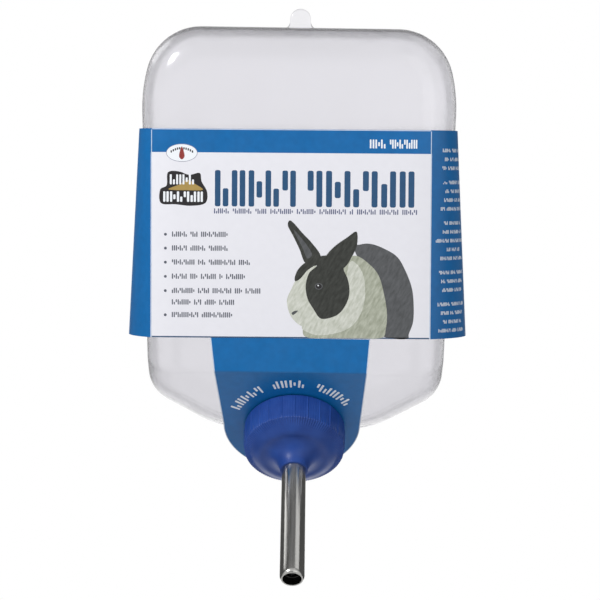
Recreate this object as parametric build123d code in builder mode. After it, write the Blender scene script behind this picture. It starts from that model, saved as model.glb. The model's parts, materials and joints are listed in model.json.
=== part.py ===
from build123d import *
from math import cos, radians, sin, sqrt, tan
import os

os.makedirs("parts", exist_ok=True)

# Hanging water bottle for rabbits.  Millimetres, +Z up, -Y towards the cage.
# The origin is the centre of the hanging tab's round end.

# ---- driving dimensions -------------------------------------------------
# bottle body
body_depth = 70.0          # front to back
body_top = -5.4            # height of the flat top
body_bottom = -218.5       # height of the flat bottom
wall = 1.2                 # blow-moulded wall
rim_radius = 18.0          # rounding of the front and back edges
crease_radius = 6.0        # rounding between the front and the sloping shoulder
top_corner_x = 74.6        # outline corners, before rounding
shoulder_x = 82.9
shoulder_z = -39.0
hip_x = 77.7
hip_z = -196.8
foot_x = 40.9
outline_radii = (29.5, 80.0, 20.0, 60.0)
bead_height = 0.3          # parting line left by the mould
bead_width = 0.8

# hanging tab
tab_radius = 5.5
tab_thickness = 5.0
tab_flare = 4.4
tab_edge = 1.0

# neck, square to the sloping shoulder
neck_fall = 42.0           # degrees below horizontal
neck_y = -6.4              # where the neck's axis crosses the shoulder plane
neck_z = -217.2
neck_radius = 22.4
neck_bore = 20.6
neck_lip = 13.6            # distances along the neck start at the shoulder plane
neck_root = -27.0
root_round = 8.0

# screw thread
pitch = 4.0
neck_crest = 24.0
cap_root = 24.6
cap_crest = 23.0
ridge_base = 1.9
ridge_top = 1.0
ridge_root = 0.5           # how far the ridge reaches into its wall
thread_turns = 1.75
cap_turns = 1.4
thread_start = 3.2

# cap
cap_rim = 0.95
cap_edge = 16.1
cap_radius = 26.75
cap_edge_radius = 26.4
cap_face = 20.8
cap_face_radius = 18.5
boss_end = 30.7
boss_radius = 7.4
boss_foot_radius = 16.5
cap_seat = 15.35           # inner face that holds the gasket
pocket_radius = 9.4        # pocket for the tube's flared end
pocket_floor = 20.5
grip_count = 24
grip_radius = 0.9
grip_height = 0.35

# gasket
gasket_inner = 19.8
gasket_outer = 24.1
gasket_gap = 0.05

# drinking tube
tube_radius = 6.35
tube_bore = 5.45
tube_tip = 102.1
groove_start = 31.2        # shallow rolled groove just outside the cap
groove_end = 31.7
groove_radius = 6.05
tip_radius = 5.6
tip_opening = 4.9
swage_length = 2.4
flare_radius = 8.9
flare_back = 16.65
flare_front = 17.55
tube_clearance = 0.06

# valve
ball_radius = 4.76
seat_radius = 4.0
seat_back = 96.4
seat_front = 98.0
seat_chamfer = 0.3
stop_radius = 3.6
stop_length = 1.5
ball_travel = 3.0
ball_gap = 0.03
ring_gap = 0.02

# printed card sleeve
card = 0.5                 # card thickness
card_gap = 0.1             # space between card and bottle
card_top = -59.3
card_bottom = -167.5
card_width = 145.5         # between the front folds
card_shift = -3.2          # the sleeve sits turned slightly round the bottle
side_top_x = 83.1          # inside of the side panels
side_bottom_x = 89.4
side_lean_front = 57.0     # degrees off straight back, at the folds
side_lean_back = 46.0
side_top_radius = 18.25
side_bottom_radius = 38.0
crease_z = -185.0
tongue_top_width = 83.3
tongue_crease_width = 79.9
tongue_shift = -2.2
tongue_radius = 36.4
tongue_rise = 2.3          # tongue centre above the neck's axis, in the shoulder plane
collar_hole = 24.9
crease_gap = 0.05
fold_space = 0.3

# ---- frames derived from them --------------------------------------------
half_depth = body_depth / 2
fall = radians(neck_fall)
neck_direction = Vector(0, -cos(fall), -sin(fall))
neck_up = Vector(0, -sin(fall), cos(fall))
neck_origin = Vector(0, neck_y, neck_z)
neck_axis = Axis(neck_origin, neck_direction)
# section: local x is the radius, local y the distance along the neck
section = Plane(origin=neck_origin, x_dir=(1, 0, 0), z_dir=(0, sin(fall), -cos(fall)))
front_view = Plane(origin=(0, 0, 0), x_dir=(1, 0, 0), z_dir=(0, -1, 0))


def neck_plane(distance):
    """Plane square to the neck, a distance out from the shoulder."""
    return Plane(
        origin=neck_origin + neck_direction * distance, x_dir=(1, 0, 0), z_dir=neck_direction
    )


def body_outline(grow):
    """Front outline of the bottle, grown outward by a distance."""
    with BuildSketch(front_view, mode=Mode.PRIVATE) as outline:
        with BuildLine():
            right = FilletPolyline(
                (0, body_top),
                (top_corner_x, body_top),
                (shoulder_x, shoulder_z),
                (hip_x, hip_z),
                (foot_x, body_bottom),
                (0, body_bottom),
                radius=outline_radii,
            )
            mirror(right, about=Plane.YZ)
        make_face()
        offset(amount=grow, kind=Kind.ARC)
    return outline.sketch


def inner_edges(faces):
    """Edges shared by two of the faces."""
    edges = [edge for face in faces for edge in face.edges()]
    return [edge for edge in edges if sum(edge.is_same(other) for other in edges) > 1]


def outer_edges(faces):
    """Edges that belong to only one of the faces."""
    edges = [edge for face in faces for edge in face.edges()]
    return [edge for edge in edges if sum(edge.is_same(other) for other in edges) == 1]


def body_form(inset):
    """Rounded bottle body with its sloping shoulder, shrunk by a distance."""
    with BuildPart() as form:
        with BuildSketch(front_view):
            add(body_outline(-inset))
        extrude(amount=half_depth - inset, both=True)
        split(bisect_by=neck_plane(-inset), keep=Keep.BOTTOM)
        front = form.faces().sort_by(Axis.Y)[0]
        slope = form.faces().sort_by(Axis((0, 0, 0), neck_direction))[-1]
        fillet(inner_edges([front, slope])[:1], radius=crease_radius - inset)
        centre_faces = form.faces().filter_by(lambda face: abs(face.center().X) < 1)
        front_faces = centre_faces.filter_by(lambda face: face.normal_at().Y < -0.5)
        fillet(outer_edges(front_faces), radius=rim_radius - inset)
        back = form.faces().sort_by(Axis.Y)[-1]
        fillet(back.edges(), radius=rim_radius - inset)
    return form.part


def neck_form(radius, start, end, rounding):
    """Round bar along the neck's axis, with its inner end rounded off."""
    with BuildPart() as form:
        with BuildSketch(neck_plane(start)):
            Circle(radius)
        extrude(amount=end - start)
        fillet(form.edges().sort_by(Axis((0, 0, 0), neck_direction))[0], radius=rounding)
    return form.part


def screw_ridge(base_radius, crest_radius, start, turns):
    """Ridge of a right-hand screw thread round the neck's axis."""
    deep = ridge_root if crest_radius > base_radius else -ridge_root
    with BuildPart() as ridge:
        with BuildLine() as path:
            add(
                Edge.make_helix(
                    pitch,
                    pitch * turns,
                    base_radius,
                    center=neck_origin + neck_direction * start,
                    normal=neck_direction,
                )
            )
        start_point = path.edge() @ 0
        outward = start_point - (neck_origin + neck_direction * start)
        profile_plane = Plane(start_point, x_dir=outward, z_dir=path.edge() % 0)
        with BuildSketch(profile_plane):
            with BuildLine():
                Polyline(
                    (-deep, ridge_base / 2),
                    (0, ridge_base / 2),
                    (crest_radius - base_radius, ridge_top / 2),
                    (crest_radius - base_radius, -ridge_top / 2),
                    (0, -ridge_base / 2),
                    (-deep, -ridge_base / 2),
                    close=True,
                )
            make_face()
        sweep(path=path.edge(), is_frenet=True)
    return ridge.part


def neck_ring(inner, outer, start, end):
    """Plain ring round the neck's axis."""
    with BuildPart() as ring:
        with BuildSketch(neck_plane(start)):
            Circle(outer)
            Circle(inner, mode=Mode.SUBTRACT)
        extrude(amount=end - start)
    return ring.part


def side_section(side_x, lean_radius, height):
    """Cross-section of the right side panel at a height."""
    front_slope = tan(radians(side_lean_front))
    back_slope = tan(radians(side_lean_back))
    front_x = card_width / 2 + card_shift + fold_space
    back_x = card_width / 2 - card_shift + fold_space
    inside_y = half_depth + card_gap
    with BuildSketch(Plane.XY.offset(height), mode=Mode.PRIVATE) as profile:
        with BuildLine():
            inside = FilletPolyline(
                (front_x, -inside_y),
                (side_x, -inside_y + (side_x - front_x) / front_slope),
                (side_x, inside_y - (side_x - back_x) / back_slope),
                (back_x, inside_y),
                radius=lean_radius,
            )
            offset(inside, amount=card, side=Side.RIGHT)
        make_face()
    return profile.sketch


# ---- bottle ---------------------------------------------------------------
# Hanging tab, moulded in one with the bottle.
with BuildPart() as tab:
    with BuildSketch(front_view) as tab_outline:
        Circle(tab_radius)
        with Locations((0, body_top / 2)):
            Rectangle(2 * tab_radius, -body_top)
        with Locations((0, body_top - wall / 2)):
            Rectangle(4 * tab_radius, wall)
        inner_corners = tab_outline.vertices().filter_by(
            lambda corner: abs(abs(corner.X) - tab_radius) < wall / 2 and corner.Y < -wall
        )
        fillet(inner_corners, radius=tab_flare)
    extrude(amount=tab_thickness / 2, both=True)
    long_edges = tab.edges().filter_by(
        lambda edge: abs(edge.center().Y) > tab_thickness / 3
        and edge.center().Z > body_top - wall / 2
    )
    fillet(long_edges, radius=tab_edge)

# One blow-moulded piece: body, shoulder, threaded neck, hanging tab.
with BuildPart() as bottle_shell:
    add(body_form(0))
    add(neck_form(neck_radius, neck_root, neck_lip, root_round))
    add(tab.part)
    with BuildSketch(front_view):
        add(body_outline(bead_height))
    extrude(amount=bead_width / 2, both=True)
    add(body_form(wall), mode=Mode.SUBTRACT)
    add(
        neck_form(neck_bore, neck_root + wall, neck_lip + wall, root_round - wall),
        mode=Mode.SUBTRACT,
    )
    add(screw_ridge(neck_radius, neck_crest, thread_start, thread_turns))

bottle_shell.part.label = "bottle_shell"
export_step(bottle_shell.part, "parts/bottle_shell.step")

# ---- cap --------------------------------------------------------------------
# Screw cap: threaded skirt with grips, smooth face, hollowed cone for the tube.
with BuildPart() as cap:
    with BuildSketch(section):
        with BuildLine():
            Line((tube_radius + tube_clearance, boss_end), (boss_radius, boss_end))
            boss_side = TangentArc(
                (boss_radius, boss_end), (boss_foot_radius, cap_face), tangent=(0, -1)
            )
            Polyline(
                boss_side @ 1,
                (cap_face_radius, cap_face),
                (cap_edge_radius, cap_edge),
                (cap_radius, cap_rim),
                (cap_root, cap_rim),
                (cap_root, cap_seat),
                (pocket_radius, cap_seat),
                (pocket_radius, pocket_floor),
                (tube_radius + tube_clearance, pocket_floor),
                (tube_radius + tube_clearance, boss_end),
            )
        make_face()
    revolve(axis=neck_axis)
    with BuildSketch(neck_plane(cap_rim + grip_radius)):
        with PolarLocations(cap_radius - grip_radius + grip_height, grip_count):
            Circle(grip_radius)
    extrude(amount=cap_edge - cap_rim - 2 * grip_radius)
    add(screw_ridge(cap_root, cap_crest, thread_start + pitch / 2, cap_turns))

cap.part.label = "cap"
export_step(cap.part, "parts/cap.step")

# Flat rubber ring between the neck's lip and the cap.
with BuildPart() as cap_gasket:
    add(neck_ring(gasket_inner, gasket_outer, neck_lip + gasket_gap, cap_seat - gasket_gap))

cap_gasket.part.label = "cap_gasket"
export_step(cap_gasket.part, "parts/cap_gasket.step")

# ---- drinking tube ------------------------------------------------------------
# Steel tube with a flared inner end and a rolled-in tip.
with BuildPart() as sipper_tube:
    with BuildSketch(section):
        with BuildLine():
            Polyline(
                (tube_bore, flare_back),
                (flare_radius, flare_back),
                (flare_radius, flare_front),
                (tube_radius, flare_front),
                (tube_radius, groove_start),
                (groove_radius, groove_start),
                (groove_radius, groove_end),
                (tube_radius, groove_end),
                (tube_radius, tube_tip - swage_length),
            )
            outer_roll = TangentArc(
                (tube_radius, tube_tip - swage_length), (tip_radius, tube_tip), tangent=(0, 1)
            )
            Line(outer_roll @ 1, (tip_opening, tube_tip))
            inner_roll = TangentArc(
                (tube_bore, tube_tip - swage_length), (tip_opening, tube_tip), tangent=(0, 1)
            )
            Line(inner_roll @ 0, (tube_bore, flare_back))
        make_face()
    revolve(axis=neck_axis)

sipper_tube.part.label = "sipper_tube"
export_step(sipper_tube.part, "parts/sipper_tube.step")

# Rubber washer under the tube's flare.
with BuildPart() as tube_seal:
    add(
        neck_ring(
            tube_radius + ring_gap,
            pocket_radius - ring_gap,
            flare_front + ring_gap,
            pocket_floor - ring_gap,
        )
    )

tube_seal.part.label = "tube_seal"
export_step(tube_seal.part, "parts/tube_seal.step")

# Ring pushed into the cap's pocket behind the tube's flare.
with BuildPart() as tube_retainer:
    add(
        neck_ring(tube_bore, pocket_radius - ring_gap, cap_seat + ring_gap, flare_back - ring_gap)
    )

tube_retainer.part.label = "tube_retainer"
export_step(tube_retainer.part, "parts/tube_retainer.step")

# Valve seat pressed into the tube near its tip.
with BuildPart() as valve_seat:
    add(neck_ring(seat_radius, tube_bore - ring_gap, seat_back, seat_front))
    mouth_edge = valve_seat.edges().filter_by(GeomType.CIRCLE).sort_by(SortBy.RADIUS)[:2]
    chamfer(mouth_edge, length=seat_chamfer)

valve_seat.part.label = "valve_seat"
export_step(valve_seat.part, "parts/valve_seat.step")

# Steel ball that rests on the seat and closes the tube.
ball_rest = seat_back + seat_chamfer - sqrt(ball_radius**2 - seat_radius**2) - ball_gap
with BuildPart() as valve_ball:
    with Locations(neck_plane(ball_rest)):
        Sphere(ball_radius)

valve_ball.part.label = "valve_ball"
export_step(valve_ball.part, "parts/valve_ball.step")

# Ring that keeps the ball in the tip.
stop_front = ball_rest - ball_travel - sqrt(ball_radius**2 - stop_radius**2) - ball_gap
with BuildPart() as ball_stop:
    add(neck_ring(stop_radius, tube_bore - ring_gap, stop_front - stop_length, stop_front))

ball_stop.part.label = "ball_stop"
export_step(ball_stop.part, "parts/ball_stop.step")

# ---- printed card ---------------------------------------------------------------
# One die-cut sheet, as one panel between each pair of folds.
card_height = card_top - card_bottom
panel_middle = (card_top + card_bottom) / 2
card_face = half_depth + card_gap

with BuildPart() as card_front_panel:
    with BuildSketch(front_view.offset(card_face)):
        with Locations((card_shift, panel_middle)):
            Rectangle(card_width, card_height)
    extrude(amount=card)

card_front_panel.part.label = "card_front_panel"
export_step(card_front_panel.part, "parts/card_front_panel.step")

with BuildPart() as card_back_panel:
    with BuildSketch(front_view.offset(-card_face)):
        with Locations((-card_shift, panel_middle)):
            Rectangle(card_width, card_height)
    extrude(amount=-card)

card_back_panel.part.label = "card_back_panel"
export_step(card_back_panel.part, "parts/card_back_panel.step")

side_top = side_section(side_top_x, side_top_radius, card_top)
side_bottom = side_section(side_bottom_x, side_bottom_radius, card_bottom)
with BuildPart() as card_right_panel:
    loft([side_bottom.face(), side_top.face()], ruled=True)

card_right_panel.part.label = "card_right_panel"
export_step(card_right_panel.part, "parts/card_right_panel.step")

# The sleeve is the same after half a turn, so the left panel is the right one turned round.
with BuildPart() as card_left_panel:
    add(card_right_panel.part.rotate(Axis.Z, 180))

card_left_panel.part.label = "card_left_panel"
export_step(card_left_panel.part, "parts/card_left_panel.step")

# Flap below the front panel, down to the crease over the shoulder.
with BuildPart() as card_tongue_upper:
    with BuildSketch(front_view.offset(card_face)):
        with BuildLine():
            Polyline(
                (tongue_shift - tongue_top_width / 2, card_bottom - crease_gap),
                (tongue_shift + tongue_top_width / 2, card_bottom - crease_gap),
                (tongue_shift + tongue_crease_width / 2, crease_z),
                (tongue_shift - tongue_crease_width / 2, crease_z),
                close=True,
            )
        make_face()
    extrude(amount=card)

card_tongue_upper.part.label = "card_tongue_upper"
export_step(card_tongue_upper.part, "parts/card_tongue_upper.step")

# Round end of the flap, over the neck and clamped under the cap.
crease_rise = (crease_z - neck_z) / cos(fall)
with BuildPart() as card_tongue_collar:
    with BuildSketch(neck_plane(card_gap)):
        with BuildLine():
            Polyline(
                (tongue_shift - tongue_radius, tongue_rise),
                (tongue_shift - tongue_crease_width / 2, crease_rise),
                (tongue_shift + tongue_crease_width / 2, crease_rise),
                (tongue_shift + tongue_radius, tongue_rise),
            )
            ThreePointArc(
                (tongue_shift + tongue_radius, tongue_rise),
                (tongue_shift, tongue_rise - tongue_radius),
                (tongue_shift - tongue_radius, tongue_rise),
            )
        make_face()
        Circle(collar_hole, mode=Mode.SUBTRACT)
    extrude(amount=card)

card_tongue_collar.part.label = "card_tongue_collar"
export_step(card_tongue_collar.part, "parts/card_tongue_collar.step")
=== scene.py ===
import json
import math
import random

import bmesh
import bpy
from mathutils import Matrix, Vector, geometry


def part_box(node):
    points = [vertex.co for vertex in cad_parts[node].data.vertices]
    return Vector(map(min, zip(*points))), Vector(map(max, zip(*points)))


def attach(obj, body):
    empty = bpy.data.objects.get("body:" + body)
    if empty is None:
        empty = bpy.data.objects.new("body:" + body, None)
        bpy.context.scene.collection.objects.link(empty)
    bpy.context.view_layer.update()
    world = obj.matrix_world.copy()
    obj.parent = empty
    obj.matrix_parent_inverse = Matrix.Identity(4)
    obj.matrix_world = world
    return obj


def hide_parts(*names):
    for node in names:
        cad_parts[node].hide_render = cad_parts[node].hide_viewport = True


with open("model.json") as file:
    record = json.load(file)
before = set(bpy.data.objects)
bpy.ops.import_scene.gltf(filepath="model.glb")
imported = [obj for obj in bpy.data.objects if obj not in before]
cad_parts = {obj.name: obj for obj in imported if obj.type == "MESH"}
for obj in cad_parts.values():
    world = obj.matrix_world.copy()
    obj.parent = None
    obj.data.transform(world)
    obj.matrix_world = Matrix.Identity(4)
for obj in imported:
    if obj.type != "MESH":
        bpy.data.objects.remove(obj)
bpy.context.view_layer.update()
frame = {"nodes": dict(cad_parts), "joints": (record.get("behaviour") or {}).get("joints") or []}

MM = 0.001
rng = random.Random(7)

# ---- places taken from the frame ----
cap_spin = next(joint for joint in frame["joints"] if joint["name"] == "cap_spin")
NECK = Vector(cap_spin["pos_m"])
OUT = Vector(cap_spin["axis"]).normalized()
RIGHT = Vector((1, 0, 0))
UP = OUT.cross(RIGHT)

front_low, front_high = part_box("card_front_panel")
CARD_TOP = front_high.z
CARD_BOTTOM = front_low.z
CARD_HALF = (front_high.x - front_low.x) / 2
CARD_FRONT = front_low.y
CARD_THICKNESS = 0.5 * MM
CARD_SMOOTH = 24  # degrees; sharper edges stay sharp
PRINT_SMOOTH = 30
CARD_SHIFT = -3.7 * MM  # middle of the front panel; the back panel's is on the other side
SLEEVE_SHIFT_TOP = -0.1 * MM
SLEEVE_SHIFT_BOTTOM = 0.9 * MM
SLEEVE_OVER = 0.4 * MM  # the sleeve's edge above the CAD panels
CARD_SLOPE = 0.0075  # rise from left to right
BAND_BOTTOM = CARD_TOP - 11.9 * MM  # lower edge of the blue band
FOLD_BEVEL = 0.25 * MM

# side panels, as in the card's CAD solids
SIDE_TOP_X = 83.1 * MM
SIDE_BOTTOM_X = 89.4 * MM
SIDE_TOP_RADIUS = 18.25 * MM
SIDE_BOTTOM_RADIUS = 38.0 * MM
LEAN_FRONT = math.radians(57)
LEAN_BACK = math.radians(46)
RIM_RADIUS = 18.2 * MM
RIM_Y = 17.0 * MM  # middle of the rim's rounding
RIM_TOP_X = 64.3 * MM
RIM_BOTTOM_X = 60.9 * MM

# tongue
TONGUE_TOP_WIDTH = 83.3 * MM
TONGUE_CREASE_WIDTH = 79.9 * MM
TONGUE_RADIUS = 36.4 * MM
TONGUE_RISE = 2.3 * MM
TONGUE_SHIFT_TOP = -2.9 * MM
TONGUE_SHIFT_LOW = -1.5 * MM
TONGUE_SHIFT_SPAN = 58 * MM
CREASE_Z = -185.0 * MM
BEND_RADIUS = 1.2 * MM
BEND_CUT = 0.13 * MM  # spacing of the cuts that let the card bend
COLLAR_HOLE = 24.9 * MM
COLLAR_HOLE_SHIFT = 1.5 * MM


def neck_point(radius, angle, distance):
    """Point round the neck's axis; the distance starts at the shoulder."""
    across = RIGHT * math.cos(angle) + UP * math.sin(angle)
    return NECK + OUT * distance + across * radius


# ---- small mesh kit ----
def rounded(points, radii, steps, closed=True):
    """Outline with its corners rounded by arcs; a radius of 0 keeps a corner sharp."""
    result = []
    count = len(points)
    for index, (point, radius) in enumerate(zip(points, radii)):
        here = Vector(point)
        if radius == 0 or (not closed and index in (0, count - 1)):
            result.append(tuple(here))
            continue
        before = (Vector(points[index - 1]) - here).normalized()
        after = (Vector(points[(index + 1) % count]) - here).normalized()
        half = before.angle(after) / 2
        reach = radius / math.tan(half)
        centre = here + (before + after).normalized() * (radius / math.sin(half))
        start = here + before * reach - centre
        end = here + after * reach - centre
        turn = start.angle_signed(end) if start.length > 0 else 0
        for step in range(steps + 1):
            angle = -turn * step / steps
            cosine, sine = math.cos(angle), math.sin(angle)
            turned = (start.x * cosine - start.y * sine, start.x * sine + start.y * cosine)
            result.append(tuple(centre + Vector(turned)))
    return result


def smooth_loop(points, steps):
    """Closed smooth curve through a few points (Catmull-Rom)."""
    result = []
    count = len(points)
    for index in range(count):
        p0, p1, p2, p3 = (Vector(points[(index + k - 1) % count]) for k in range(4))
        for step in range(steps):
            t = step / steps
            result.append(
                tuple(
                    0.5
                    * (
                        2 * p1
                        + (p2 - p0) * t
                        + (2 * p0 - 5 * p1 + 4 * p2 - p3) * t**2
                        + (3 * p1 - p0 - 3 * p2 + p3) * t**3
                    )
                )
            )
    return result


def new_object(name, mesh, body, materials):
    """Piece that rides on a body, with its materials."""
    piece = bpy.data.objects.new(name, mesh)
    bpy.context.scene.collection.objects.link(piece)
    for material in materials:
        mesh.materials.append(material)
    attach(piece, body)
    return piece


def mesh_from(name, vertices, faces, smooth_angle, indices=None):
    mesh = bpy.data.meshes.new(name)
    mesh.from_pydata([tuple(v) for v in vertices], [], faces)
    if indices:
        mesh.polygons.foreach_set("material_index", indices)
    finish_mesh(mesh, smooth_angle)
    return mesh


def finish_mesh(mesh, smooth_angle):
    """Faces turned outward and shaded smooth, with sharp edges above an angle."""
    work = bmesh.new()
    work.from_mesh(mesh)
    bmesh.ops.recalc_face_normals(work, faces=work.faces)
    for face in work.faces:
        face.smooth = True
    for edge in work.edges:
        if len(edge.link_faces) == 2:
            edge.smooth = edge.calc_face_angle() < math.radians(smooth_angle)
    work.to_mesh(mesh)
    work.free()


def lathe(name, profile, segments, smooth_angle, ripple=None):
    """Ring-shaped solid: a closed profile of (radius, distance) turned round the neck's axis."""
    vertices = []
    for segment in range(segments):
        angle = 2 * math.pi * segment / segments
        for radius, distance in profile:
            shift = ripple(angle, radius, distance) if ripple else (0.0, 0.0)
            vertices.append(neck_point(radius + shift[0], angle, distance + shift[1]))
    rows = len(profile)
    faces = []
    for segment in range(segments):
        following = (segment + 1) % segments
        for row in range(rows):
            below = (row + 1) % rows
            faces.append(
                (
                    segment * rows + row,
                    following * rows + row,
                    following * rows + below,
                    segment * rows + below,
                )
            )
    return mesh_from(name, vertices, faces, smooth_angle)


def thicken(work, thickness):
    """Makes flat faces at height 0 into a closed sheet."""
    extruded = bmesh.ops.extrude_face_region(work, geom=list(work.faces))
    for element in extruded["geom"]:
        if isinstance(element, bmesh.types.BMVert):
            element.co.z = thickness


def placed_mesh(name, work, place, smooth_angle):
    """Mesh of a flat sheet put on a surface by place(u, v, height)."""
    for vertex in work.verts:
        vertex.co = place(vertex.co.x, vertex.co.y, vertex.co.z)
    mesh = bpy.data.meshes.new(name)
    work.to_mesh(mesh)
    work.free()
    finish_mesh(mesh, smooth_angle)
    return mesh


def print_mesh(name, outlines, place, thickness):
    """Thin closed prints: flat outlines filled, given a thickness and put on a surface."""
    work = bmesh.new()
    for outline in outlines:
        tidy = [outline[0]]
        for point in outline[1:]:
            if (Vector(point) - Vector(tidy[-1])).length > 1e-6:
                tidy.append(point)
        if (Vector(tidy[0]) - Vector(tidy[-1])).length < 1e-6:
            tidy.pop()
        ring = [work.verts.new((u, v, 0)) for u, v in tidy]
        for triangle in geometry.tessellate_polygon([[Vector((u, v, 0)) for u, v in tidy]]):
            work.faces.new([ring[i] for i in triangle])
    thicken(work, thickness)
    return placed_mesh(name, work, place, PRINT_SMOOTH)


# ---- materials ----
def srgb(red, green, blue):
    """Linear colour from 0-255 display values."""
    channels = []
    for value in (red, green, blue):
        share = value / 255
        channels.append(share / 12.92 if share <= 0.04045 else ((share + 0.055) / 1.055) ** 2.4)
    return (*channels, 1.0)


def new_material(name):
    material = bpy.data.materials.new(name)
    material.use_nodes = True
    tree = material.node_tree
    return material, tree, tree.nodes["Principled BSDF"]


def noise_node(tree, scale, detail=3.0, stretch=None):
    """Noise in object space, features per metre; stretch is (scale, rotation) of its axes."""
    coordinates = tree.nodes.new("ShaderNodeTexCoord")
    texture = tree.nodes.new("ShaderNodeTexNoise")
    texture.inputs["Scale"].default_value = scale
    texture.inputs["Detail"].default_value = detail
    if stretch is None:
        tree.links.new(coordinates.outputs["Object"], texture.inputs["Vector"])
    else:
        mapping = tree.nodes.new("ShaderNodeMapping")
        mapping.vector_type = "TEXTURE"
        mapping.inputs["Rotation"].default_value = stretch[1]
        mapping.inputs["Scale"].default_value = stretch[0]
        tree.links.new(coordinates.outputs["Object"], mapping.inputs["Vector"])
        tree.links.new(mapping.outputs["Vector"], texture.inputs["Vector"])
    return texture.outputs["Fac"]


def add_bump(tree, shader, height, strength, distance):
    bump = tree.nodes.new("ShaderNodeBump")
    bump.inputs["Strength"].default_value = strength
    bump.inputs["Distance"].default_value = distance
    tree.links.new(height, bump.inputs["Height"])
    tree.links.new(bump.outputs["Normal"], shader.inputs["Normal"])


def ranged(tree, factor, low, high):
    """Factor 0-1 stretched to a range of numbers."""
    node = tree.nodes.new("ShaderNodeMapRange")
    node.inputs["From Min"].default_value = 0.3
    node.inputs["From Max"].default_value = 0.7
    node.inputs["To Min"].default_value = low
    node.inputs["To Max"].default_value = high
    tree.links.new(factor, node.inputs["Value"])
    return node.outputs["Result"]


def mixed_colour(tree, factor, first, second):
    node = tree.nodes.new("ShaderNodeMix")
    node.data_type = "RGBA"
    node.inputs["A"].default_value = first
    node.inputs["B"].default_value = second
    tree.links.new(factor, node.inputs["Factor"])
    return node.outputs["Result"]


def shade(colour, share):
    return (colour[0] * share, colour[1] * share, colour[2] * share, 1.0)


def varnish(tree, shader, coat):
    """Thin coat over the fine fibre of the card."""
    shader.inputs["Coat Weight"].default_value = coat
    shader.inputs["Coat Roughness"].default_value = 0.25
    add_bump(tree, shader, noise_node(tree, 1800, 2), 0.12, 0.0001)


def printed(name, colour, roughness=0.38, variation=0.06, coat=0.25):
    """Ink on coated card: slight mottle, fine fibre bump, thin varnish."""
    material, tree, shader = new_material(name)
    mottle = ranged(tree, noise_node(tree, 260), 0, 1)
    tree.links.new(
        mixed_colour(tree, mottle, shade(colour, 1 - variation), shade(colour, 1 + variation)),
        shader.inputs["Base Color"],
    )
    tree.links.new(
        ranged(tree, noise_node(tree, 90), roughness - 0.06, roughness + 0.06),
        shader.inputs["Roughness"],
    )
    shader.inputs["Specular IOR Level"].default_value = 0.4
    varnish(tree, shader, coat)
    return material


def raw_card():
    """Uncoated grey-white inside of the card and its cut edges."""
    material, tree, shader = new_material("card_core")
    fibre = ranged(tree, noise_node(tree, 1500, 4), 0, 1)
    tree.links.new(
        mixed_colour(tree, fibre, srgb(224, 224, 226), srgb(242, 242, 244)),
        shader.inputs["Base Color"],
    )
    shader.inputs["Roughness"].default_value = 0.9
    add_bump(tree, shader, noise_node(tree, 2500, 3), 0.3, 0.0001)
    return material


def clear_plastic():
    """Blow-moulded clear plastic: soft waves, a faint haze, and painted shade that darkens it where
    it is seen edge on.
    """
    face_on = (0.897, 0.892, 0.917, 1)
    # painted shade: a near-black base colour where the surface is seen edge on, in place of dark
    # refracted edges
    grazing_painted_shade = (0.04, 0.04, 0.05, 1)
    material, tree, shader = new_material("clear_plastic")
    facing = tree.nodes.new("ShaderNodeLayerWeight")
    facing.inputs["Blend"].default_value = 0.5
    edge = tree.nodes.new("ShaderNodeMapRange")
    edge.interpolation_type = "SMOOTHSTEP"
    edge.inputs["From Min"].default_value = 0.8
    edge.inputs["From Max"].default_value = 0.96
    tree.links.new(facing.outputs["Facing"], edge.inputs["Value"])
    tree.links.new(
        mixed_colour(tree, edge.outputs["Result"], face_on, grazing_painted_shade), shader.inputs["Base Color"]
    )
    shader.inputs["Transmission Weight"].default_value = 1.0
    shader.inputs["IOR"].default_value = 1.5
    tree.links.new(ranged(tree, noise_node(tree, 60), 0.12, 0.18), shader.inputs["Roughness"])
    add_bump(tree, shader, noise_node(tree, 20, 1), 0.05, 0.0006)
    return material


def cap_plastic():
    """Satin moulded blue plastic."""
    material, tree, shader = new_material("cap_plastic")
    cloud = ranged(tree, noise_node(tree, 120), 0, 1)
    tree.links.new(
        mixed_colour(tree, cloud, srgb(26, 62, 138), srgb(34, 74, 154)),
        shader.inputs["Base Color"],
    )
    tree.links.new(ranged(tree, noise_node(tree, 300), 0.38, 0.46), shader.inputs["Roughness"])
    shader.inputs["Specular IOR Level"].default_value = 0.4
    add_bump(tree, shader, noise_node(tree, 260, 1), 0.05, 0.0001)
    return material


def steel(name, colour, low, high, stretch):
    """Drawn stainless steel with fine lines along the piece."""
    material, tree, shader = new_material(name)
    lines = noise_node(tree, 900, 3, stretch)
    tree.links.new(
        mixed_colour(tree, ranged(tree, lines, 0, 1), shade(colour, 0.93), shade(colour, 1.05)),
        shader.inputs["Base Color"],
    )
    shader.inputs["Metallic"].default_value = 1.0
    tree.links.new(ranged(tree, lines, low, high), shader.inputs["Roughness"])
    add_bump(tree, shader, lines, 0.06, 0.00005)
    return material


def plain(name, colour, roughness, grain):
    """Rubber or matt moulded plastic with a fine grain."""
    material, tree, shader = new_material(name)
    cloud = ranged(tree, noise_node(tree, grain / 8), 0, 1)
    tree.links.new(
        mixed_colour(tree, cloud, shade(colour, 0.9), shade(colour, 1.08)),
        shader.inputs["Base Color"],
    )
    shader.inputs["Roughness"].default_value = roughness
    add_bump(tree, shader, noise_node(tree, grain, 3), 0.25, 0.0001)
    return material


def fur(name, dark, light):
    """Printed picture of fur: short strokes of two tones."""
    material, tree, shader = new_material(name)
    strokes = ranged(tree, noise_node(tree, 700, 4, ((1, 1, 3), (0, 0.5, 0))), 0, 1)
    tree.links.new(mixed_colour(tree, strokes, dark, light), shader.inputs["Base Color"])
    shader.inputs["Roughness"].default_value = 0.38
    varnish(tree, shader, 0.25)
    return material


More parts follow.
